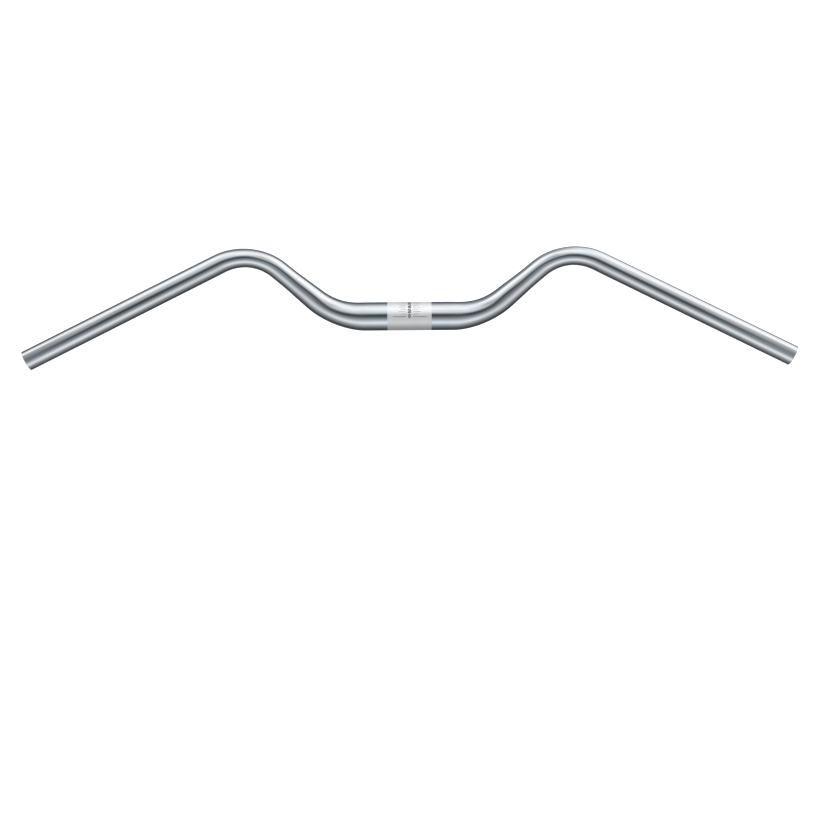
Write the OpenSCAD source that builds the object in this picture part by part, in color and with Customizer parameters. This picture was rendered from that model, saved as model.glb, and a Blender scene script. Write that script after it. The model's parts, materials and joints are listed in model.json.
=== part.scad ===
// Bicycle handlebar: one butted aluminium tube, bent to shape.
// A wide straight zone in the middle is held by the stem. On each side the tube narrows
// as it bends forward and climbs along a leg, then turns back into a straight grip.
// X runs across the bicycle, +Y is the way it travels and +Z is up.
// The origin is the middle of the clamp zone, on its axis.

/* [Overall] */
// Width between the middles of the two end faces
bar_w = 828; // [740:1:860]

/* [Clamp zone] */
// Diameter that the stem holds
clamp_d = 31.8; // [29:0.1:35]
// Length of the straight zone of that diameter
clamp_l = 94; // [70:1:120]
// Wall of the tube in the clamp zone
clamp_wall = 2.4; // [1.8:0.1:3.2]

/* [Grips] */
// Diameter of the grips
grip_d = 22.2; // [20:0.1:24]
// Wall of the tube along the grips
grip_wall = 2; // [1.4:0.1:2.8]
// Angle by which the grips point back
backsweep = 27; // [10:1:40]
// Angle by which the grips climb
upsweep = 4; // [0:1:10]
// Bevel round the outside of each end
end_bevel = 0.4; // [0.2:0.1:1]
// Bevel round the mouth of each end
mouth_bevel = 0.4; // [0.1:0.1:0.6]

/* [Legs] */
// Angle by which the legs run forward
leg_forward = 39; // [25:1:48]
// Angle by which the legs climb
leg_climb = 14; // [4:1:24]
// Straight length of a leg between its two bends
leg_l = 51; // [30:1:70]
// Length over which the tube narrows, from the end of the clamp zone
taper_l = 104; // [80:1:130]

/* [Bends] */
// Radius of the inner bends, at the middle of the tube
inner_bend_r = 83; // [65:1:100]
// Radius of the outer bends, at the middle of the tube
outer_bend_r = 60; // [50:1:75]
// Straight length between the clamp zone and the first bend
bend_lead = 3.5; // [1:0.5:8]
// Length past a bend over which the tube becomes round again
settle_l = 10; // [5:1:15]
// Share by which the inner bends flatten the tube
inner_flat = 0.045; // [0.01:0.005:0.08]
// Share by which the outer bends flatten the tube
outer_flat = 0.07; // [0.01:0.005:0.1]
// How much of that flattening comes out as height
bulge = 0.5; // [0.1:0.1:1]

/* [Smoothness] */
// Flats round the bent stretches
sides = 36; // [24:4:44]

/* [Hidden] */
$fn = 96;

// The bent wall reaches this far into the straight tubes, inside their wall
tuck_l = 1;
// How far inside their wall its surfaces stay
tuck_gap = 0.01;
// Share of the taper that eases in at each end
taper_ease = 0.12;
// Rings along the inner bend, the leg, the outer bend and the stretch after it
inner_rings = 10;
leg_rings = 4;
outer_rings = 12;
settle_rings = 2;

function unit(v) = v / norm(v);
function heading(turn, climb) = [cos(climb) * cos(turn), cos(climb) * sin(turn), sin(climb)];
function arc_l(r, angle) = r * angle * PI / 180;
function between(a, b, t) = a + (b - a) * t;

// The three straight directions of the right half, and the upward side of each bend
across = [1, 0, 0];
leg_dir = heading(leg_forward, leg_climb);
grip_dir = heading(-backsweep, upsweep);
inner_turn = acos(across * leg_dir);
outer_turn = acos(leg_dir * grip_dir);
inner_up = unit(cross(across, leg_dir));
outer_up = unit(cross(grip_dir, leg_dir));

// Distances along the tube's axis from the origin to where each stretch starts
clamp_end = clamp_l / 2;
inner_start = clamp_end + bend_lead;
inner_end = inner_start + arc_l(inner_bend_r, inner_turn);
outer_start = inner_end + leg_l;
outer_end = outer_start + arc_l(outer_bend_r, outer_turn);
round_start = outer_end + settle_l;

// A point and a direction, the distance s along a bend that turns from dir toward another
function inward(dir, toward) = unit(toward - (toward * dir) * dir);
function bend_point(start, dir, toward, r, s) =
    let (a = s / r * 180 / PI)
    start + r * (sin(a) * dir + (1 - cos(a)) * inward(dir, toward));
function bend_dir(dir, toward, r, s) =
    let (a = s / r * 180 / PI)
    cos(a) * dir + sin(a) * inward(dir, toward);

bend_start = inner_start * across;
leg_start = bend_point(bend_start, across, leg_dir, inner_bend_r, inner_end - inner_start);
leg_end = leg_start + leg_l * leg_dir;
grip_start = bend_point(leg_end, leg_dir, grip_dir, outer_bend_r, outer_end - outer_start);
grip_l = (bar_w / 2 - grip_start.x) / grip_dir.x;

// The tube's axis, the distance s from the origin
function axis_point(s) =
    s < inner_start ? s * across
    : s < inner_end ? bend_point(bend_start, across, leg_dir, inner_bend_r, s - inner_start)
    : s < outer_start ? leg_start + (s - inner_end) * leg_dir
    : s < outer_end ? bend_point(leg_end, leg_dir, grip_dir, outer_bend_r, s - outer_start)
    : grip_start + (s - outer_end) * grip_dir;
function axis_dir(s) =
    s < inner_start ? across
    : s < inner_end ? bend_dir(across, leg_dir, inner_bend_r, s - inner_start)
    : s < outer_start ? leg_dir
    : s < outer_end ? bend_dir(leg_dir, grip_dir, outer_bend_r, s - outer_start)
    : grip_dir;
// The upward side of the section swings from one bend's to the other's along the leg
function up_side(s) =
    s < inner_end ? inner_up
    : s < outer_start ? unit(between(inner_up, outer_up, (s - inner_end) / leg_l))
    : outer_up;

// The taper is a straight line with an easy start and end
function eased(t) =
    let (e = taper_ease, full = 2 * e * (1 - e))
    t <= 0 ? 0
    : t < e ? t * t / full
    : t < 1 - e ? (t - e / 2) / (1 - e)
    : t < 1 ? 1 - (1 - t) * (1 - t) / full
    : 1;
function taper(s) = eased((s - clamp_end) / taper_l);
function tube_r(s) = between(clamp_d, grip_d, taper(s)) / 2;
function tube_wall(s) = between(clamp_wall, grip_wall, taper(s));

// Bending flattens the tube towards the middle of a bend
function hump(s, from, to) = s > from && s < to ? pow(sin(180 * (s - from) / (to - from)), 2) : 0;
function flattening(s) =
    inner_flat * hump(s, clamp_end, inner_end + settle_l)
    + outer_flat * hump(s, outer_start - settle_l, round_start);

// One oval section of radius r before the bend flattened it
function section(s, r) =
    let (at = axis_point(s), up = up_side(s), side = cross(up, axis_dir(s)), flat = flattening(s))
    [for (i = [0:sides - 1])
        at + r * (1 - flat) * cos(360 * i / sides) * side
           + r * (1 + bulge * flat) * sin(360 * i / sides) * up];

function stations(from, to, count) = [for (i = [0:count - 1]) between(from, to, i / count)];
bent_stations = concat(
    [clamp_end - tuck_l],
    stations(clamp_end, inner_end, inner_rings),
    stations(inner_end, outer_start, leg_rings),
    stations(outer_start, outer_end, outer_rings),
    stations(outer_end, round_start, settle_rings),
    [round_start, round_start + tuck_l]
);

// Two triangles for each place in a band of two rings that start at points a and b
function band(a, b) = [
    for (i = [0:sides - 1])
        let (j = (i + 1) % sides)
        each [[a + i, b + i, b + j], [a + i, b + j, a + j]]
];

// The wall of the bent stretch: an outer skin, an inner skin and a flat rim at each end
module bent_wall() {
    last = len(bent_stations) - 1;
    inner = (last + 1) * sides;
    // The inner skin's flats lie outside the bore that they follow
    bore_grow = 1 / cos(180 / sides);
    outer_skin = [for (s = bent_stations) each section(s, tube_r(s) - tuck_gap)];
    inner_skin = [
        for (s = bent_stations) each section(s, (tube_r(s) - tube_wall(s) + tuck_gap) * bore_grow)
    ];
    polyhedron(
        points = concat(outer_skin, inner_skin),
        faces = concat(
            [for (k = [0:last - 1]) each band(k * sides, (k + 1) * sides)],
            [for (k = [0:last - 1]) each band(inner + (k + 1) * sides, inner + k * sides)],
            band(inner, 0),
            band(last * sides, inner + last * sides)
        )
    );
}

// The straight middle that the stem holds
module clamp_tube() {
    r = clamp_d / 2;
    rotate([0, 90, 0])
        rotate_extrude()
            polygon([
                [r - clamp_wall, -clamp_end], [r, -clamp_end],
                [r, clamp_end], [r - clamp_wall, clamp_end]
            ]);
}

// The straight end that a grip and a brake lever slide onto, open and bevelled at its mouth
module grip_tube() {
    r = grip_d / 2;
    bore_r = r - grip_wall;
    tube_l = grip_l - settle_l;
    translate(axis_point(round_start))
        rotate([0, acos(grip_dir.z), atan2(grip_dir.y, grip_dir.x)])
            rotate_extrude()
                polygon([
                    [bore_r, 0], [r, 0], [r, tube_l - end_bevel], [r - end_bevel, tube_l],
                    [bore_r + mouth_bevel, tube_l], [bore_r, tube_l - mouth_bevel]
                ]);
}

module handlebar() {
    color("silver")
        union() {
            clamp_tube();
            for (left = [0, 1])
                mirror([left, 0, 0]) {
                    bent_wall();
                    grip_tube();
                }
        }
}

handlebar();
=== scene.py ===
import json
import math

import bmesh
import bpy
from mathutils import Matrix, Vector


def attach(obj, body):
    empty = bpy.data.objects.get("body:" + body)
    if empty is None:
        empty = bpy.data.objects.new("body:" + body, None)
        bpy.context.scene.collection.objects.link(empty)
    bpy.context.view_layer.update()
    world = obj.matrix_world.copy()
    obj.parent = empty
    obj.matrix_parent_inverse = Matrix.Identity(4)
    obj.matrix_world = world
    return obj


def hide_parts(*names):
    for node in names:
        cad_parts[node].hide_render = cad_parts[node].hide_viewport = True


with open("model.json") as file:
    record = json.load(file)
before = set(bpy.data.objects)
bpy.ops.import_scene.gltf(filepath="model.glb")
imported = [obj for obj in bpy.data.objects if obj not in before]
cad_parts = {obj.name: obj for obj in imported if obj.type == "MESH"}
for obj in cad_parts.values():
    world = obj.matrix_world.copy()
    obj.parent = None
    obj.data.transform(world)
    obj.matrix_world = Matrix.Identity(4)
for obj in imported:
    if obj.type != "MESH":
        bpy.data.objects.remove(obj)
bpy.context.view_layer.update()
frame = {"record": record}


# The bar's route
# The bar is one aluminium tube, drawn and tapered as a straight length and then bent cold
# in four places: forward and up out of the clamp zone, then back into each grip.
mounts = {mount["name"]: mount for mount in frame["record"]["mounts"]}
clamp_r = mounts["stem_clamp"]["dims"]["r_mm"] / 1000
clamp_end = mounts["stem_clamp"]["dims"]["length_mm"] / 2000
grip_r = mounts["right_grip"]["dims"]["r_mm"] / 1000
grip_dir = Vector(mounts["right_grip"]["axis"]).normalized()
bar_w = 0.828
leg_l = 0.051
taper_l = 0.104
taper_ease = 0.12
inner_bend_r = 0.083
outer_bend_r = 0.060
bend_lead = 0.0035
settle_l = 0.010
inner_flat = 0.045
outer_flat = 0.07

across = Vector((1, 0, 0))
forward, climb = math.radians(39), math.radians(14)
leg_dir = Vector((
    math.cos(climb) * math.cos(forward), math.cos(climb) * math.sin(forward), math.sin(climb)
))
inner_up = across.cross(leg_dir).normalized()
outer_up = grip_dir.cross(leg_dir).normalized()


def bend_place(start, going, toward, radius, s):
    """A point and a direction, the distance s along a bend that turns from going to toward."""
    inward = (toward - toward.dot(going) * going).normalized()
    turn = s / radius
    place = start + radius * (math.sin(turn) * going + (1 - math.cos(turn)) * inward)
    return place, math.cos(turn) * going + math.sin(turn) * inward


inner_start = clamp_end + bend_lead
inner_end = inner_start + inner_bend_r * across.angle(leg_dir)
outer_start = inner_end + leg_l
outer_end = outer_start + outer_bend_r * leg_dir.angle(grip_dir)
settled = outer_end + settle_l
bend_start = inner_start * across
leg_start = bend_place(bend_start, across, leg_dir, inner_bend_r, inner_end - inner_start)[0]
leg_end = leg_start + leg_l * leg_dir
grip_start = bend_place(leg_end, leg_dir, grip_dir, outer_bend_r, outer_end - outer_start)[0]
bar_end = outer_end + (bar_w / 2 - grip_start.x) / grip_dir.x


def axis_place(s):
    """A point on the axis of the right half and its direction, the distance s from the middle."""
    if s < inner_start:
        return s * across, across
    if s < inner_end:
        return bend_place(bend_start, across, leg_dir, inner_bend_r, s - inner_start)
    if s < outer_start:
        return leg_start + (s - inner_end) * leg_dir, leg_dir
    if s < outer_end:
        return bend_place(leg_end, leg_dir, grip_dir, outer_bend_r, s - outer_start)
    return grip_start + (s - outer_end) * grip_dir, grip_dir


def upward_side(s):
    """The upward side of the section swings from one bend's to the other's along the leg."""
    if s < inner_end:
        return inner_up
    if s < outer_start:
        return inner_up.lerp(outer_up, (s - inner_end) / leg_l).normalized()
    return outer_up


def taper(s):
    """How far the tube has narrowed, from 0 to 1, with an easy start and end."""
    t = min(max((s - clamp_end) / taper_l, 0), 1)
    full = 2 * taper_ease * (1 - taper_ease)
    if t < taper_ease:
        return t * t / full
    if t > 1 - taper_ease:
        return 1 - (1 - t) ** 2 / full
    return (t - taper_ease / 2) / (1 - taper_ease)


def hump(s, start, end):
    return math.sin(math.pi * (s - start) / (end - start)) ** 2 if start < s < end else 0


def flattening(s):
    """Bending flattens the tube, most in the middle of a bend."""
    inner = inner_flat * hump(s, clamp_end, inner_end + settle_l)
    return inner + outer_flat * hump(s, outer_start - settle_l, settled)


# The drawn tube
# Polished aluminium with a clear anodised skin, open from end to end. Both cut ends are
# faced square and bevelled. The middle 49 mm is bead blasted, so that a stem grips it.
bore_r = mounts["right_end_bore"]["dims"]["r_mm"] / 1000
clamp_wall = 0.0024
bulge = 0.5
band_half = 0.0245
end_bevel = 0.0004
mouth_bevel = 0.0004
sides = 96
weld_gap = 2e-6
bore_share = 0.6
sharp_angle = math.radians(30)


def ring(s, radius, bore):
    """One section of the tube, s from the middle, negative on the left: its place, its two
    half widths as vectors, its distance along the tube, and 1 on the skin of the bore."""
    place, going = axis_place(abs(s))
    up = upward_side(abs(s))
    side = up.cross(going)
    flat = flattening(abs(s))
    width = radius * (1 - flat) * side
    height = radius * (1 + bulge * flat) * up
    if s < 0:
        place, width, height = (Vector((-v.x, v.y, v.z)) for v in (place, width, height))
    return place, width, height, s, bore


def spread(start, end, count):
    return [start + (end - start) * i / count for i in range(count)]


half = spread(0, band_half, 3) + spread(band_half, clamp_end, 3)
half += spread(clamp_end, inner_end, 36) + spread(inner_end, outer_start, 16)
half += spread(outer_start, settled, 52) + spread(settled, bar_end - end_bevel, 8)
half += [bar_end - end_bevel]
whole = [-s for s in reversed(half[1:])] + half


def outer_radius(s):
    return clamp_r + (grip_r - clamp_r) * taper(abs(s))


def inner_radius(s):
    wall = clamp_wall + (grip_r - bore_r - clamp_wall) * taper(abs(s))
    return outer_radius(s) - wall


rings = [ring(s, outer_radius(s), 0) for s in whole]
rings += [ring(bar_end, grip_r - end_bevel, 0), ring(bar_end, bore_r + mouth_bevel, 0)]
rings += [ring(s, inner_radius(s), 1) for s in reversed(whole)]
rings += [ring(-bar_end, bore_r + mouth_bevel, 0), ring(-bar_end, grip_r - end_bevel, 0)]


def add(tree, kind, sockets=None, **settings):
    """A node with its settings, and a value or a link for each named or numbered input."""
    made = tree.nodes.new(kind)
    for name, value in settings.items():
        setattr(made, name, value)
    for key, value in (sockets or {}).items():
        if isinstance(value, bpy.types.NodeSocket):
            tree.links.new(value, made.inputs[key])
        else:
            made.inputs[key].default_value = value
    return made


def maths(tree, operation, *values):
    return add(tree, "ShaderNodeMath", dict(enumerate(values)), operation=operation).outputs[0]


def vector_maths(tree, operation, *values):
    made = add(tree, "ShaderNodeVectorMath", dict(enumerate(values)), operation=operation)
    return made.outputs["Vector"]


def sockets_of(tree, ins, outs):
    """Gives a tree its named inputs and outputs, and returns its two end nodes."""
    for name, kind in ins:
        tree.interface.new_socket(name, in_out="INPUT", socket_type=kind)
    for name, kind in outs:
        tree.interface.new_socket(name, in_out="OUTPUT", socket_type=kind)
    return tree.nodes.new("NodeGroupInput").outputs, tree.nodes.new("NodeGroupOutput").inputs


def grown(name, mesh, tree, values):
    """The plain mesh that a Geometry Nodes tree makes of a mesh, as an object."""
    seed = bpy.data.objects.new(name + "_seed", mesh)
    bpy.context.scene.collection.objects.link(seed)
    grow = seed.modifiers.new("grow", "NODES")
    grow.node_group = tree
    for item in tree.interface.items_tree:
        if item.in_out == "INPUT" and item.name in values:
            grow[item.identifier] = values[item.name]
    shape = seed.evaluated_get(bpy.context.evaluated_depsgraph_get())
    plain = bpy.data.meshes.new_from_object(shape)
    bpy.data.objects.remove(seed)
    made = bpy.data.objects.new(name, plain)
    bpy.context.scene.collection.objects.link(made)
    return made


def blended(tree, factor, first, second):
    """A colour between two, by a factor from 0 to 1."""
    made = add(tree, "ShaderNodeMix", {0: factor, 6: first, 7: second}, data_type="RGBA")
    return made.outputs[2]


metal_grain = bpy.data.node_groups.new("metal_grain", "ShaderNodeTree")
grain_in, grain_out = sockets_of(
    metal_grain,
    [
        ("Along And Round", "NodeSocketVector"), ("Color", "NodeSocketColor"),
        ("Cloud Color", "NodeSocketColor"), ("Roughness", "NodeSocketFloat"),
        ("Cloud Roughness", "NodeSocketFloat"), ("Line Roughness", "NodeSocketFloat"),
        ("Lines Per Metre", "NodeSocketVector"), ("Line Height", "NodeSocketFloat"),
        ("Grit Per Metre", "NodeSocketFloat"), ("Grit Height", "NodeSocketFloat"),
    ],
    [
        ("Color", "NodeSocketColor"), ("Roughness", "NodeSocketFloat"),
        ("Height", "NodeSocketFloat"),
    ],
)
route = grain_in["Along And Round"]
stretched = vector_maths(metal_grain, "MULTIPLY", route, grain_in["Lines Per Metre"])
lines = add(
    metal_grain, "ShaderNodeTexNoise",
    {"Vector": stretched, "Scale": 1.0, "Detail": 3.0, "Roughness": 0.6},
).outputs["Fac"]
cloud = add(
    metal_grain, "ShaderNodeTexNoise",
    {"Vector": route, "Scale": 38.0, "Detail": 3.0, "Roughness": 0.55, "Distortion": 0.4},
).outputs["Fac"]
grit = add(
    metal_grain, "ShaderNodeTexNoise",
    {"Vector": route, "Scale": grain_in["Grit Per Metre"], "Detail": 2.0},
).outputs["Fac"]
line_part = maths(metal_grain, "SUBTRACT", lines, 0.5)
cloud_part = maths(metal_grain, "SUBTRACT", cloud, 0.5)
roughness = maths(
    metal_grain, "MULTIPLY_ADD", line_part, grain_in["Line Roughness"], grain_in["Roughness"]
)
roughness = maths(
    metal_grain, "MULTIPLY_ADD", cloud_part, grain_in["Cloud Roughness"], roughness
)
cloud_mask = add(
    metal_grain, "ShaderNodeMapRange", {"Value": cloud, "From Min": 0.35, "From Max": 0.65}
).outputs["Result"]
color = blended(metal_grain, cloud_mask, grain_in["Color"], grain_in["Cloud Color"])
line_height = maths(metal_grain, "MULTIPLY", lines, grain_in["Line Height"])
height = maths(metal_grain, "MULTIPLY_ADD", grit, grain_in["Grit Height"], line_height)
metal_grain.links.new(color, grain_out["Color"])
metal_grain.links.new(roughness, grain_out["Roughness"])
metal_grain.links.new(height, grain_out["Height"])


def tube_metal(name, metallic, grain):
    """A finish of the tube, laid along it by the straight layout that the tube carries."""
    made = bpy.data.materials.new(name)
    made.use_nodes = True
    tree = made.node_tree
    shader = tree.nodes["Principled BSDF"]
    shader.inputs["Metallic"].default_value = metallic
    layout = add(tree, "ShaderNodeAttribute", attribute_name="along_and_round")
    finish = tree.nodes.new("ShaderNodeGroup")
    finish.node_tree = metal_grain
    tree.links.new(layout.outputs["Vector"], finish.inputs["Along And Round"])
    for socket, value in grain.items():
        finish.inputs[socket].default_value = value
    bump = add(
        tree, "ShaderNodeBump",
        {"Height": finish.outputs["Height"], "Strength": 1.0, "Distance": 1.0},
    )
    tree.links.new(finish.outputs["Color"], shader.inputs["Base Color"])
    tree.links.new(finish.outputs["Roughness"], shader.inputs["Roughness"])
    tree.links.new(bump.outputs["Normal"], shader.inputs["Normal"])
    return made


polished = tube_metal("polished_aluminium", 1.0, {
    "Color": (0.83, 0.84, 0.86, 1), "Cloud Color": (0.79, 0.805, 0.83, 1),
    "Roughness": 0.115, "Cloud Roughness": 0.07, "Line Roughness": 0.06,
    "Lines Per Metre": (9, 1500, 1500), "Line Height": 2.4e-6,
    "Grit Per Metre": 2600, "Grit Height": 2.5e-7,
})
blasted = tube_metal("blasted_aluminium", 0.45, {
    "Color": (0.94, 0.945, 0.95, 1), "Cloud Color": (0.90, 0.91, 0.915, 1),
    "Roughness": 0.38, "Cloud Roughness": 0.1, "Line Roughness": 0.0,
    "Lines Per Metre": (900, 900, 900), "Line Height": 5e-6,
    "Grit Per Metre": 3200, "Grit Height": 1.6e-5,
})
bore_metal = tube_metal("drawn_bore", 0.75, {
    "Color": (0.56, 0.57, 0.59, 1), "Cloud Color": (0.48, 0.49, 0.51, 1),
    "Roughness": 0.46, "Cloud Roughness": 0.2, "Line Roughness": 0.25,
    "Lines Per Metre": (20, 900, 900), "Line Height": 1e-5,
    "Grit Per Metre": 1800, "Grit Height": 2e-6,
})

draw_tube = bpy.data.node_groups.new("draw_tube", "GeometryNodeTree")
tube_in, tube_out = sockets_of(
    draw_tube,
    [
        ("Rings", "NodeSocketGeometry"), ("Ring Count", "NodeSocketInt"),
        ("Sides", "NodeSocketInt"), ("Band Half Width", "NodeSocketFloat"),
        ("Skin", "NodeSocketMaterial"), ("Band", "NodeSocketMaterial"),
        ("Bore", "NodeSocketMaterial"),
    ],
    [("Tube", "NodeSocketGeometry")],
)
row_length = maths(draw_tube, "ADD", tube_in["Sides"], 1)
grid = add(
    draw_tube, "GeometryNodeMeshGrid",
    {
        "Size X": 1.0, "Size Y": 1.0,
        "Vertices X": maths(draw_tube, "ADD", tube_in["Ring Count"], 1),
        "Vertices Y": row_length,
    },
).outputs["Mesh"]
point_number = draw_tube.nodes.new("GeometryNodeInputIndex").outputs["Index"]
ring_number = maths(draw_tube, "FLOOR", maths(draw_tube, "DIVIDE", point_number, row_length))
ring_number = maths(draw_tube, "MODULO", ring_number, tube_in["Ring Count"])
side_number = maths(draw_tube, "MODULO", point_number, row_length)
around = maths(draw_tube, "DIVIDE", side_number, tube_in["Sides"])
around = maths(draw_tube, "MULTIPLY", around, math.tau)


def of_ring(name, kind):
    """What the ring with the point's own number carries under that name."""
    carried = add(
        draw_tube, "GeometryNodeInputNamedAttribute", {"Name": name}, data_type=kind
    ).outputs["Attribute"]
    return add(
        draw_tube, "GeometryNodeSampleIndex",
        {"Geometry": tube_in["Rings"], "Value": carried, "Index": ring_number},
        data_type=kind,
    ).outputs["Value"]


cosine = maths(draw_tube, "COSINE", around)
sine = maths(draw_tube, "SINE", around)
half_width = of_ring("half_width", "FLOAT_VECTOR")
half_height = of_ring("half_height", "FLOAT_VECTOR")
along = of_ring("along", "FLOAT")
sideways_part = add(
    draw_tube, "ShaderNodeVectorMath", {0: half_width, "Scale": cosine}, operation="SCALE"
).outputs["Vector"]
upward_part = add(
    draw_tube, "ShaderNodeVectorMath", {0: half_height, "Scale": sine}, operation="SCALE"
).outputs["Vector"]
offset = vector_maths(draw_tube, "ADD", sideways_part, upward_part)
skin_place = vector_maths(draw_tube, "ADD", of_ring("place", "FLOAT_VECTOR"), offset)
rolled = add(
    draw_tube, "GeometryNodeSetPosition", {"Geometry": grid, "Position": skin_place}
).outputs["Geometry"]
ring_reach = add(
    draw_tube, "ShaderNodeVectorMath", {0: half_width}, operation="LENGTH"
).outputs["Value"]
layout = add(
    draw_tube, "ShaderNodeCombineXYZ",
    {"X": along, "Y": maths(draw_tube, "MULTIPLY", ring_reach, cosine),
     "Z": maths(draw_tube, "MULTIPLY", ring_reach, sine)},
).outputs["Vector"]
laid = add(
    draw_tube, "GeometryNodeStoreNamedAttribute",
    {"Geometry": rolled, "Name": "along_and_round", "Value": layout},
    data_type="FLOAT_VECTOR", domain="POINT",
).outputs["Geometry"]
inside = add(
    draw_tube, "GeometryNodeStoreNamedAttribute",
    {"Geometry": laid, "Name": "inside", "Value": of_ring("bore", "FLOAT")},
    data_type="FLOAT", domain="POINT",
).outputs["Geometry"]
closed = add(
    draw_tube, "GeometryNodeMergeByDistance", {"Geometry": inside, "Distance": weld_gap}
).outputs["Geometry"]
smooth = add(draw_tube, "GeometryNodeSetShadeSmooth", {"Geometry": closed}).outputs["Geometry"]
real = add(
    draw_tube, "GeometryNodeRealizeInstances", {"Geometry": smooth}
).outputs["Geometry"]
face_layout = add(
    draw_tube, "GeometryNodeInputNamedAttribute", {"Name": "along_and_round"},
    data_type="FLOAT_VECTOR",
).outputs["Attribute"]
face_along = add(draw_tube, "ShaderNodeSeparateXYZ", {"Vector": face_layout}).outputs["X"]
in_band = maths(
    draw_tube, "LESS_THAN", maths(draw_tube, "ABSOLUTE", face_along),
    tube_in["Band Half Width"],
)
face_inside = add(
    draw_tube, "GeometryNodeInputNamedAttribute", {"Name": "inside"}, data_type="FLOAT"
).outputs["Attribute"]
in_bore = maths(draw_tube, "GREATER_THAN", face_inside, bore_share)
for picked, finish in ((None, "Skin"), (in_band, "Band"), (in_bore, "Bore")):
    inputs = {"Geometry": real, "Material": tube_in[finish]}
    if picked:
        inputs["Selection"] = picked
    real = add(draw_tube, "GeometryNodeSetMaterial", inputs).outputs["Geometry"]
draw_tube.links.new(real, tube_out["Tube"])

ring_mesh = bpy.data.meshes.new("tube_rings")
ring_mesh.from_pydata([r[0] for r in rings], [], [])
for name, kind, column in (
    ("place", "FLOAT_VECTOR", 0), ("half_width", "FLOAT_VECTOR", 1),
    ("half_height", "FLOAT_VECTOR", 2), ("along", "FLOAT", 3), ("bore", "FLOAT", 4),
):
    carried = ring_mesh.attributes.new(name, kind, "POINT")
    for item, r in zip(carried.data, rings):
        if kind == "FLOAT_VECTOR":
            item.vector = r[column]
        else:
            item.value = r[column]

tube = grown("tube", ring_mesh, draw_tube, {
    "Ring Count": len(rings), "Sides": sides, "Band Half Width": band_half,
    "Skin": polished, "Band": blasted, "Bore": bore_metal,
})
skin = bmesh.new()
skin.from_mesh(tube.data)
bmesh.ops.recalc_face_normals(skin, faces=skin.faces)
skin.to_mesh(tube.data)
skin.free()
tube.data.set_sharp_from_angle(angle=sharp_angle)
tube.data.attributes.remove(tube.data.attributes["inside"])
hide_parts("handlebar")
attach(tube, "root")


# The alignment scale
# Fine grey lines printed on the blasted band, in two halves with a gap between. A rider
# sets them against the edge of the stem's clamp to turn the bar the same way again.
first_angle = math.radians(-5.6)
angle_step = math.radians(10)
ink_proud = 0.00002

ink = bpy.data.materials.new("grey_ink")
ink.use_nodes = True
ink_shader = ink.node_tree.nodes["Principled BSDF"]
ink_place = add(ink.node_tree, "ShaderNodeTexCoord").outputs["Object"]
ink_spots = add(
    ink.node_tree, "ShaderNodeTexNoise",
    {"Vector": ink_place, "Scale": 4200.0, "Detail": 2.0},
).outputs["Fac"]
ink_mask = add(
    ink.node_tree, "ShaderNodeMapRange",
    {"Value": ink_spots, "From Min": 0.35, "From Max": 0.7},
).outputs["Result"]
ink.node_tree.links.new(
    blended(ink.node_tree, ink_mask, (0.035, 0.036, 0.038, 1), (0.13, 0.13, 0.135, 1)),
    ink_shader.inputs["Base Color"],
)
ink_shader.inputs["Roughness"].default_value = 0.6
ink_bump = add(
    ink.node_tree, "ShaderNodeBump", {"Height": ink_spots, "Strength": 1.0, "Distance": 6e-6}
)
ink.node_tree.links.new(ink_bump.outputs["Normal"], ink_shader.inputs["Normal"])

print_lines = bpy.data.node_groups.new("print_lines", "GeometryNodeTree")
print_in, print_out = sockets_of(
    print_lines,
    [
        ("Seed", "NodeSocketGeometry"), ("Lines", "NodeSocketInt"),
        ("First Angle", "NodeSocketFloat"), ("Angle Step", "NodeSocketFloat"),
        ("Radius", "NodeSocketFloat"), ("Gap", "NodeSocketFloat"),
        ("First Length", "NodeSocketFloat"), ("Odd Length", "NodeSocketFloat"),
        ("Even Length", "NodeSocketFloat"), ("First Width", "NodeSocketFloat"),
        ("Width", "NodeSocketFloat"), ("Depth", "NodeSocketFloat"),
        ("Ink", "NodeSocketMaterial"),
    ],
    [("Printed", "NodeSocketGeometry")],
)
stroke_number = print_lines.nodes.new("GeometryNodeInputIndex").outputs["Index"]
line = maths(print_lines, "FLOOR", maths(print_lines, "DIVIDE", stroke_number, 2.0))
hand = maths(
    print_lines, "MULTIPLY_ADD", maths(print_lines, "MODULO", stroke_number, 2.0), -2.0, 1.0
)
angle = maths(
    print_lines, "MULTIPLY_ADD", line, print_in["Angle Step"], print_in["First Angle"]
)


def either(chosen, off, on):
    return add(
        print_lines, "GeometryNodeSwitch", {"Switch": chosen, "False": off, "True": on},
        input_type="FLOAT",
    ).outputs["Output"]


odd = maths(print_lines, "MODULO", line, 2.0)
is_first = maths(print_lines, "LESS_THAN", line, 0.5)
line_length = either(odd, print_in["Even Length"], print_in["Odd Length"])
line_length = either(is_first, line_length, print_in["First Length"])
line_width = either(is_first, print_in["Width"], print_in["First Width"])
line_middle = maths(
    print_lines, "MULTIPLY", maths(print_lines, "ADD", print_in["Gap"], line_length), 0.5
)
sine = maths(print_lines, "SINE", angle)
cosine = maths(print_lines, "COSINE", angle)
line_place = add(
    print_lines, "ShaderNodeCombineXYZ",
    {
        "X": maths(print_lines, "MULTIPLY", hand, line_middle),
        "Y": maths(print_lines, "MULTIPLY", sine, print_in["Radius"]),
        "Z": maths(print_lines, "MULTIPLY", cosine, print_in["Radius"]),
    },
).outputs["Vector"]
line_turn = add(
    print_lines, "ShaderNodeCombineXYZ", {"X": maths(print_lines, "MULTIPLY", angle, -1.0)}
).outputs["Vector"]
line_size = add(
    print_lines, "ShaderNodeCombineXYZ",
    {"X": line_length, "Y": line_width, "Z": print_in["Depth"]},
).outputs["Vector"]
line_points = add(
    print_lines, "GeometryNodeMeshLine",
    {"Count": maths(print_lines, "MULTIPLY", print_in["Lines"], 2.0)},
).outputs["Mesh"]
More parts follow.
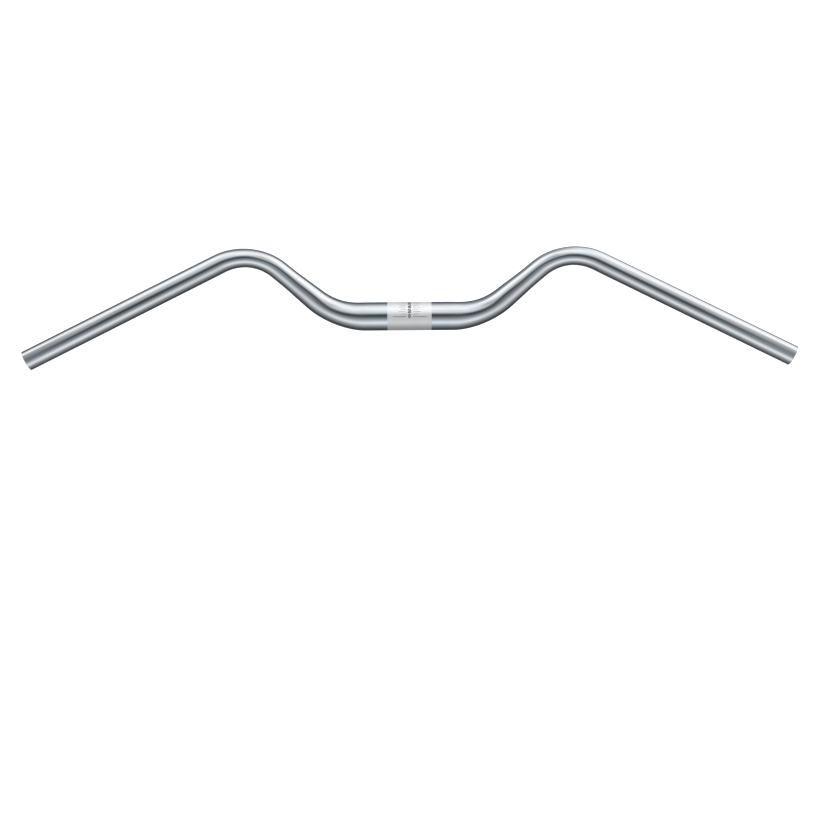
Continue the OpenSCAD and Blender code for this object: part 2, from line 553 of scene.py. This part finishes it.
line_points = add(
    print_lines, "GeometryNodeSetPosition", {"Geometry": line_points, "Position": line_place}
).outputs["Geometry"]
stroke = add(
    print_lines, "GeometryNodeMeshCube", {"Size": (1.0, 1.0, 1.0), "Vertices X": 6}
).outputs["Mesh"]
printed = add(
    print_lines, "GeometryNodeInstanceOnPoints",
    {
        "Points": line_points, "Instance": stroke, "Rotation": line_turn, "Scale": line_size,
    },
).outputs["Instances"]
printed = add(
    print_lines, "GeometryNodeRealizeInstances", {"Geometry": printed}
).outputs["Geometry"]
printed = add(
    print_lines, "GeometryNodeSetMaterial", {"Geometry": printed, "Material": print_in["Ink"]}
).outputs["Geometry"]
print_lines.links.new(printed, print_out["Printed"])

scale_lines = grown("scale_lines", bpy.data.meshes.new("scale_seed"), print_lines, {
    "Lines": 9, "First Angle": first_angle, "Angle Step": angle_step, "Radius": clamp_r,
    "Gap": 0.0077, "First Length": 0.0148, "Odd Length": 0.006, "Even Length": 0.0082,
    "First Width": 0.00052, "Width": 0.00034, "Depth": 2 * ink_proud, "Ink": ink,
})
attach(scale_lines, "root")


# The numbers of the scale
# Plain condensed figures printed in the gap of every second line, in degrees from the
# longest line. They wrap round the tube and read upright from behind the bar.
number_height = 0.005
number_width = 0.0039
number_lift = math.radians(2.9)
single_width = 0.7 * number_width
bolder = 0.05
bend_steps = 10


def wrapped_number(text, middle_angle):
    """A printed number: an outline, cut into narrow steps and bent round the clamp zone."""
    letters = bpy.data.curves.new("number_" + text, "FONT")
    letters.body = text
    letters.align_x = "CENTER"
    letters.offset = bolder
    letters.resolution_u = 6
    outline = bpy.data.objects.new("number_outline", letters)
    bpy.context.scene.collection.objects.link(outline)
    shape = outline.evaluated_get(bpy.context.evaluated_depsgraph_get())
    flat = bpy.data.meshes.new_from_object(shape)
    bpy.data.objects.remove(outline)
    figure = bmesh.new()
    figure.from_mesh(flat)
    bpy.data.meshes.remove(flat)
    low = Vector(min(v.co[i] for v in figure.verts) for i in range(3))
    high = Vector(max(v.co[i] for v in figure.verts) for i in range(3))
    middle, size = (low + high) / 2, high - low
    wide = number_width if len(text) > 1 else single_width
    for vert in figure.verts:
        vert.co.x = (vert.co.x - middle.x) * wide / size.x
        vert.co.y = (vert.co.y - middle.y) * number_height / size.y
        vert.co.z = 0
    for step in range(1, bend_steps):
        bmesh.ops.bisect_plane(
            figure, geom=figure.verts[:] + figure.edges[:] + figure.faces[:],
            plane_co=(0, number_height * (step / bend_steps - 0.5), 0), plane_no=(0, 1, 0),
        )
    bmesh.ops.remove_doubles(figure, verts=figure.verts, dist=1e-7)
    thick = bmesh.ops.extrude_face_region(figure, geom=figure.faces[:])
    raised = [item for item in thick["geom"] if isinstance(item, bmesh.types.BMVert)]
    for vert in figure.verts:
        vert.co.z = -ink_proud
    for vert in raised:
        vert.co.z = ink_proud
    for vert in figure.verts:
        turn = middle_angle + vert.co.y / clamp_r
        radius = clamp_r + vert.co.z
        vert.co = (vert.co.x, radius * math.sin(turn), radius * math.cos(turn))
    bmesh.ops.recalc_face_normals(figure, faces=figure.faces)
    return figure


numbers_mesh = bpy.data.meshes.new("scale_numbers")
all_numbers = bmesh.new()
for i, text in enumerate(("0", "20", "40", "60", "80")):
    figure = wrapped_number(text, first_angle + 2 * i * angle_step + number_lift)
    figure.to_mesh(numbers_mesh)
    figure.free()
    all_numbers.from_mesh(numbers_mesh)
all_numbers.to_mesh(numbers_mesh)
all_numbers.free()
numbers_mesh.materials.append(ink)
scale_numbers = bpy.data.objects.new("scale_numbers", numbers_mesh)
bpy.context.scene.collection.objects.link(scale_numbers)
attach(scale_numbers, "root")


# The studio
# A pale floor well below the bar, an even white room and one soft box in front. The metal
# alone also sees a big dome and sheet that glow in greys like shaded paper, bright in front and
# behind and dark overhead, and thin soft-edged cards, glowing or black, over the grips and legs.
floor_r = 2.9
floor_z = -0.30
floor_glow = 0.64

floor_paint = bpy.data.materials.new("pale_floor")
floor_paint.use_nodes = True
floor_tree = floor_paint.node_tree
floor_shader = floor_tree.nodes["Principled BSDF"]
floor_shader.inputs["Base Color"].default_value = (0.85, 0.85, 0.85, 1)
floor_shader.inputs["Roughness"].default_value = 0.9
floor_shader.inputs["Specular IOR Level"].default_value = 0.0
floor_shader.inputs["Emission Strength"].default_value = 1.0


def when_seen(tree, unseen, seen):
    """One value for light that falls on things, and another for what is seen or mirrored."""
    rays = add(tree, "ShaderNodeLightPath").outputs
    mirrored = maths(tree, "MAXIMUM", rays["Is Glossy Ray"], rays["Is Transmission Ray"])
    looked_at = maths(tree, "MAXIMUM", rays["Is Camera Ray"], mirrored)
    return maths(tree, "MULTIPLY_ADD", looked_at, seen - unseen, unseen)


floor_tree.links.new(when_seen(floor_tree, 0.0, floor_glow), floor_shader.inputs["Emission Color"])


def stage_mesh(name, shape, material):
    """Turns a shape in memory into a piece of the studio."""
    mesh = bpy.data.meshes.new(name)
    shape.to_mesh(mesh)
    shape.free()
    mesh.materials.append(material)
    made = bpy.data.objects.new(name, mesh)
    bpy.context.scene.collection.objects.link(made)
    return made


floor_shape = bmesh.new()
bmesh.ops.create_circle(floor_shape, cap_ends=True, segments=96, radius=floor_r)
bmesh.ops.translate(floor_shape, verts=floor_shape.verts, vec=(0, 0, floor_z))
stage_mesh("floor", floor_shape, floor_paint)

side_zone = 1.6

shaded_paper = bpy.data.node_groups.new("shaded_paper", "ShaderNodeTree")
paper_in, paper_out = sockets_of(
    shaded_paper, [("Place", "NodeSocketVector")],
    [
        ("Color", "NodeSocketColor"), ("Overhead", "NodeSocketFloat"),
        ("Front High", "NodeSocketFloat"), ("Front Low", "NodeSocketFloat"),
        ("Back", "NodeSocketFloat"),
    ],
)
parts = add(shaded_paper, "ShaderNodeSeparateXYZ", {"Vector": paper_in["Place"]})
level = maths(
    shaded_paper, "SQRT",
    maths(shaded_paper, "MULTIPLY_ADD", parts.outputs["X"], parts.outputs["X"],
          maths(shaded_paper, "POWER", parts.outputs["Y"], 2.0)),
)
from_top = maths(shaded_paper, "ARCTAN2", level, parts.outputs["Z"])
to_front = maths(
    shaded_paper, "DIVIDE", parts.outputs["Y"], maths(shaded_paper, "MAXIMUM", level, 1e-4)
)
to_front = maths(shaded_paper, "MULTIPLY", to_front, side_zone)
to_front = maths(
    shaded_paper, "MAXIMUM", maths(shaded_paper, "MINIMUM", to_front, 1.0), -1.0
)
signed_angle = maths(shaded_paper, "MULTIPLY", from_top, to_front)
shade = add(
    shaded_paper, "ShaderNodeValToRGB",
    {"Fac": maths(shaded_paper, "MULTIPLY_ADD", signed_angle, 1 / math.tau, 0.5)},
)
# The paper's grey by the angle from overhead in degrees, which is negative behind the bar
coolest, neutral_grey = 0.11, 1.25
shades = [
    (-180, 0.55), (-174, 0.36), (-165, 0.05), (-120, 0.08), (-97, 0.235), (-77, 0.52),
    (-60, 0.95), (-46, 0.75), (-30, 0.38), (-18, 0.23), (-8, 0.105), (0, 0.067), (7, 0.074),
    (14, 0.17), (22, 0.38), (32, 0.56), (45, 0.72), (60, 1.02), (77, 1.14), (97, 0.78),
    (120, 0.28), (147, 0.10), (166, 0.10), (174, 0.36), (180, 0.55),
]
stops = shade.color_ramp.elements
while len(stops) > 1:
    stops.remove(stops[-1])
for i, (degrees, grey) in enumerate(shades):
    stop = stops[0] if i == 0 else stops.new(degrees / 360 + 0.5)
    stop.position = degrees / 360 + 0.5
    cool = coolest * max(0, 1 - grey / neutral_grey)
    stop.color = (grey * (1 - cool), grey, grey * (1 + cool), 1)
shaded_paper.links.new(shade.outputs["Color"], paper_out["Color"])
overhead = add(
    shaded_paper, "ShaderNodeMapRange",
    {"Value": from_top, "From Min": math.radians(22), "From Max": math.radians(10)},
).outputs["Result"]
shaded_paper.links.new(overhead, paper_out["Overhead"])
front = add(
    shaded_paper, "ShaderNodeMapRange",
    {"Value": signed_angle, "From Min": math.radians(2), "From Max": math.radians(14)},
).outputs["Result"]
back = add(
    shaded_paper, "ShaderNodeMapRange",
    {"Value": signed_angle, "From Min": math.radians(-22), "From Max": math.radians(-45)},
).outputs["Result"]
shaded_paper.links.new(back, paper_out["Back"])
low = add(
    shaded_paper, "ShaderNodeMapRange",
    {"Value": from_top, "From Min": math.radians(45), "From Max": math.radians(75)},
).outputs["Result"]
shaded_paper.links.new(
    maths(shaded_paper, "MULTIPLY", front, maths(shaded_paper, "SUBTRACT", 1.0, low)),
    paper_out["Front High"],
)
shaded_paper.links.new(
    maths(shaded_paper, "MULTIPLY", front, low), paper_out["Front Low"]
)


def side_ramp(tree, sideways, colors):
    """A colour that changes sideways, through colours set evenly from the left to the right."""
    ramp = add(tree, "ShaderNodeValToRGB", {"Fac": sideways})
    ramp.color_ramp.interpolation = "EASE"
    marks = ramp.color_ramp.elements
    while len(marks) > 1:
        marks.remove(marks[-1])
    for i, color in enumerate(colors):
        place = i / (len(colors) - 1)
        mark = marks[0] if i == 0 else marks.new(place)
        mark.position = place
        mark.color = color
    return ramp.outputs["Color"]


def paper(name, axes, shift, fade_half, warmth, fades):
    """Shaded paper that glows by where it stands, seen from the bar. It is warmer, and its
    zones fade, by shares that are set evenly from the left to the right."""
    made = bpy.data.materials.new(name)
    made.use_nodes = True
    tree = made.node_tree
    tree.nodes.clear()
    spot = add(tree, "ShaderNodeTexCoord").outputs["Object"]
    shading = tree.nodes.new("ShaderNodeGroup")
    shading.node_tree = shaded_paper
    tree.links.new(vector_maths(tree, "MULTIPLY_ADD", spot, axes, shift), shading.inputs["Place"])
    sideways = add(
        tree, "ShaderNodeMapRange",
        {"Value": add(tree, "ShaderNodeSeparateXYZ", {"Vector": spot}).outputs["X"],
         "From Min": -fade_half, "From Max": fade_half},
    ).outputs["Result"]
    tint = side_ramp(tree, sideways, [((1 + w) / 2, 0.5, (1 - w) / 2, 1) for w in warmth])
    color = vector_maths(tree, "MULTIPLY", shading.outputs["Color"], tint)
    color = vector_maths(tree, "MULTIPLY", color, (2, 2, 2))
    for zone, shares in fades.items():
        fade = side_ramp(tree, sideways, [(share / 2, share / 2, share / 2, 1) for share in shares])
        part = maths(tree, "MULTIPLY_ADD", fade, 2.0, -1.0)
        part = maths(tree, "MULTIPLY_ADD", part, shading.outputs[zone], 1.0)
        color = vector_maths(tree, "MULTIPLY", color, part)
    glow = add(tree, "ShaderNodeEmission", {"Color": color, "Strength": 1.0})
    end = add(tree, "ShaderNodeOutputMaterial")
    tree.links.new(glow.outputs["Emission"], end.inputs["Surface"])
    made.cycles.emission_sampling = "NONE"
    return made


dome_r = 3.0
dome_fade_half = 2.4
dome_shape = bmesh.new()
bmesh.ops.create_uvsphere(dome_shape, u_segments=96, v_segments=48, radius=dome_r)
bmesh.ops.reverse_faces(dome_shape, faces=dome_shape.faces)
dome_warmth = (0.03, 0.015, 0.005, 0.035, -0.01, 0.015, 0.035, 0.035, 0.03)
dome_paper = paper("paper_overhead", (1, 1, 1), (0, 0, 0), dome_fade_half, dome_warmth, {
    "Overhead": (1.0, 1.0, 1.05, 1.1, 0.85, 1.35, 1.45, 1.0, 1.0),
    "Front High": (1.6, 1.05, 0.68, 1.15, 1.4, 1.2, 0.85, 1.15, 1.5),
    "Front Low": (1.0, 1.03, 1.0, 0.91, 0.88, 0.93, 1.03, 1.08, 1.08),
    "Back": (0.8, 0.8, 0.82, 1.0, 1.0, 1.0, 0.82, 0.8, 0.8),
})
dome = stage_mesh("paper_dome", dome_shape, dome_paper)

sheet_r = 2.95
sheet_z = -0.13
sheet_fade_half = 0.9
sheet_shape = bmesh.new()
bmesh.ops.create_circle(sheet_shape, cap_ends=True, segments=96, radius=sheet_r)
bmesh.ops.translate(sheet_shape, verts=sheet_shape.verts, vec=(0, 0, sheet_z))
sheet_warmth = (0.005, 0.005, 0.025, -0.01, 0.025, 0.035, 0.035)
sheet_paper = paper("paper_below", (0, 1, 1), (0, 0, -0.02), sheet_fade_half, sheet_warmth, {
    "Front Low": (0.7, 0.49, 0.5, 0.75, 1.22, 1.62, 1.55),
})
sheet = stage_mesh("paper_sheet", sheet_shape, sheet_paper)

card_origin = Vector((0.399, -0.014))
card_outward = Vector((0.893, -0.45))
card_forward = Vector((0.45, 0.893))
card_cells = 32


def rise(place, start, end):
    """A soft step from 0 to 1 between two places."""
    share = min(max((place - start) / (end - start), 0), 1)
    return share * share * (3 - 2 * share)


def soft_card(name, side, card_z, grey, most, outward, forward):
    """A thin soft-edged card above one half of the bar. It glows with its grey, black where the
    grey is 0, and only reflections see it. Outward along the grip and forward across it, four
    places say where it starts, is thickest, thins out again and ends."""
    made = bpy.data.materials.new(name)
    made.use_nodes = True
    tree = made.node_tree
    tree.nodes.clear()
    cover = add(tree, "ShaderNodeAttribute", attribute_name="cover").outputs["Fac"]
    glow = add(
        tree, "ShaderNodeEmission",
        {"Color": (grey * 0.95, grey, grey * 1.05, 1), "Strength": 1.0},
    ).outputs["Emission"]
    clear = add(tree, "ShaderNodeBsdfTransparent").outputs["BSDF"]
    thin = add(tree, "ShaderNodeMixShader", {0: cover, 1: clear, 2: glow}).outputs["Shader"]
    end = add(tree, "ShaderNodeOutputMaterial")
    tree.links.new(thin, end.inputs["Surface"])
    made.cycles.emission_sampling = "NONE"
    shape = bmesh.new()
    bmesh.ops.create_grid(shape, x_segments=card_cells, y_segments=card_cells, size=0.5)
    covers = shape.verts.layers.float.new("cover")
    for vert in shape.verts:
        out = outward[0] + (outward[3] - outward[0]) * (vert.co.x + 0.5)
        front = forward[0] + (forward[3] - forward[0]) * (vert.co.y + 0.5)
        share = rise(out, *outward[:2]) * (1 - rise(out, *outward[2:]))
        share *= rise(front, *forward[:2]) * (1 - rise(front, *forward[2:]))
        vert[covers] = most * share
        place = card_origin + card_outward * out + card_forward * front
        vert.co = (side * place.x, place.y, card_z)
    return stage_mesh(name, shape, made)


cards = []
for name, side, card_z, grey, most, outward, forward in (
    ("left_end", -1, 0.4, 0.25, 0.75, (-0.02, 0.08, 0.2, 0.3), (-0.2, 0, 0.45, 1)),
    ("right_end", 1, 0.4, 0.33, 0.68, (-0.04, 0.07, 0.2, 0.3), (-0.3, -0.05, 0.25, 0.9)),
    ("left_dark", -1, 0.4, 0, 0.42, (-0.19, -0.12, -0.06, -0.02), (-0.07, 0, 0.07, 0.19)),
    ("right_dark", 1, 0.4, 0, 0.3, (-0.19, -0.12, -0.08, -0.04), (-0.07, 0, 0.07, 0.19)),
    ("left_pale", -1, 0.2, 1.6, 0.27, (-0.3, -0.22, -0.19, -0.07), (0, 0.2, 0.4, 0.9)),
    ("right_pale", 1, 0.2, 1.6, 0.15, (-0.3, -0.23, -0.19, -0.07), (0, 0.15, 0.3, 0.7)),
    ("left_bend", -1, 0.2, 0, 0.55, (-0.335, -0.3, -0.265, -0.235), (-0.065, -0.03, 0, 0.05)),
    ("right_bend", 1, 0.2, 0, 0.42, (-0.335, -0.3, -0.265, -0.235), (-0.065, -0.03, 0, 0.05)),
    ("left_leg", -1, 0.2, 1.4, 0.08, (-0.43, -0.39, -0.35, -0.31), (-0.11, -0.08, -0.03, 0)),
    ("right_leg", 1, 0.2, 1.4, 0.16, (-0.43, -0.39, -0.35, -0.31), (-0.11, -0.08, -0.03, 0)),
):
    cards.append(soft_card(name + "_card", side, card_z, grey, most, outward, forward))
for screen in [dome, sheet] + cards:
    screen.visible_camera = False
    screen.visible_diffuse = False
    screen.visible_shadow = False
    screen.visible_transmission = False

room_light, room_seen = 0.43, 1.0
room = bpy.data.worlds.new("white_room")
bpy.context.scene.world = room
room.use_nodes = True
backdrop = room.node_tree.nodes["Background"].inputs
backdrop["Strength"].default_value = 1.0
room.node_tree.links.new(
    when_seen(room.node_tree, room_light, room_seen), backdrop["Color"]
)
room.cycles.sampling_method = "NONE"

soft_box = bpy.data.lights.new("soft_box", "AREA")
soft_box.energy = 44
soft_box.size = 2.0
lamp = bpy.data.objects.new("soft_box", soft_box)
lamp.location = (0, 1.77, 1.77)
lamp.rotation_euler = (math.radians(-45), 0, 0)
lamp.visible_glossy = False
lamp.visible_camera = False
bpy.context.scene.collection.objects.link(lamp)

view_camera = bpy.data.cameras.new("view_camera")
view_camera.lens = 55.54
view_camera.sensor_width = 36
camera = bpy.data.objects.new("view_camera", view_camera)
camera.location = (-0.00125, -0.10374, 1.4109)
camera.rotation_euler = (0, 0, math.radians(-0.407))
bpy.context.scene.collection.objects.link(camera)
bpy.context.scene.camera = camera
bpy.context.scene.view_settings.view_transform = "Standard"
